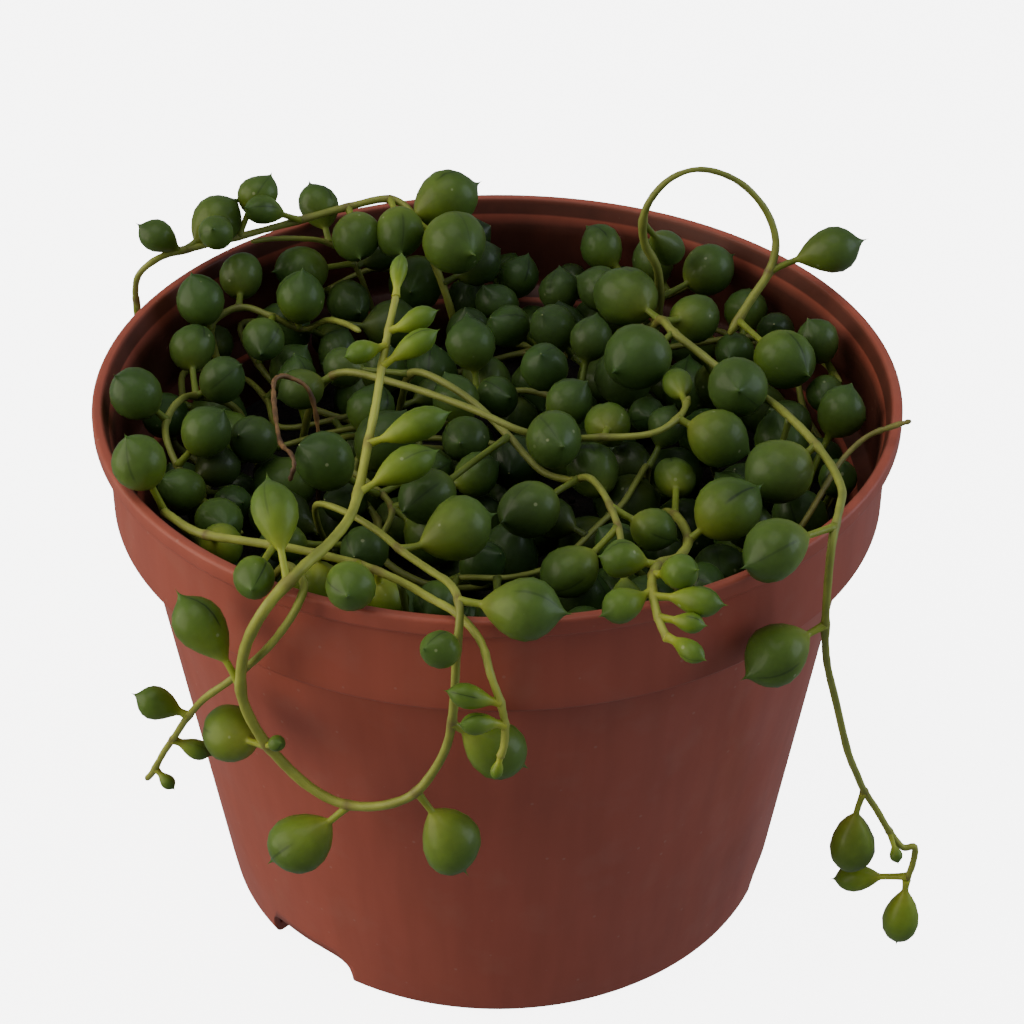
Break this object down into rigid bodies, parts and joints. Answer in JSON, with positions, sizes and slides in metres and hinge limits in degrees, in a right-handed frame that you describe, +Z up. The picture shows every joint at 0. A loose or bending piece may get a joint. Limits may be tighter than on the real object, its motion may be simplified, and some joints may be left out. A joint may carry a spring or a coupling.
{
  "type": "potted string of pearls",
  "caption": "Trailing succulent with ball-shaped leaves on thin stems, rooted in soil in a thin round plastic nursery pot; the stems creep over the rim and hang down.",
  "frame": {"origin": "centre of the pot's flat underside, on the pot's axis", "axes": "+Z up along the pot's axis, -Y towards the front, where the longest loop of stem hangs over the rim, +X to the right as seen from the front"},
  "size_m": [0.1098, 0.1153, 0.0957],
  "materials": {
    "pot": "satin",
    "soil": "matte",
    "leaf": "satin",
    "dry_stem": "matte"
  },
  "bodies": {
    "root": {"pot": "pot", "soil": "soil", "strand_loop": "leaf", "strand_front": "leaf", "strand_left": "leaf", "strand_right": "leaf", "strand_arch": "leaf", "strand_back": "leaf", "strand_rim": "leaf", "strand_side": "leaf", "strand_west": "leaf", "strand_across": "leaf", "strand_middle": "leaf", "strand_rosette": "leaf", "strand_low": "leaf", "twig_right": "dry_stem", "dry_stem": "dry_stem", "strand_01": "leaf", "strand_02": "leaf", "strand_03": "leaf", "strand_04": "leaf", "strand_05": "leaf", "strand_06": "leaf", "strand_07": "leaf", "strand_08": "leaf", "strand_09": "leaf"}
  },
  "joints": []
}
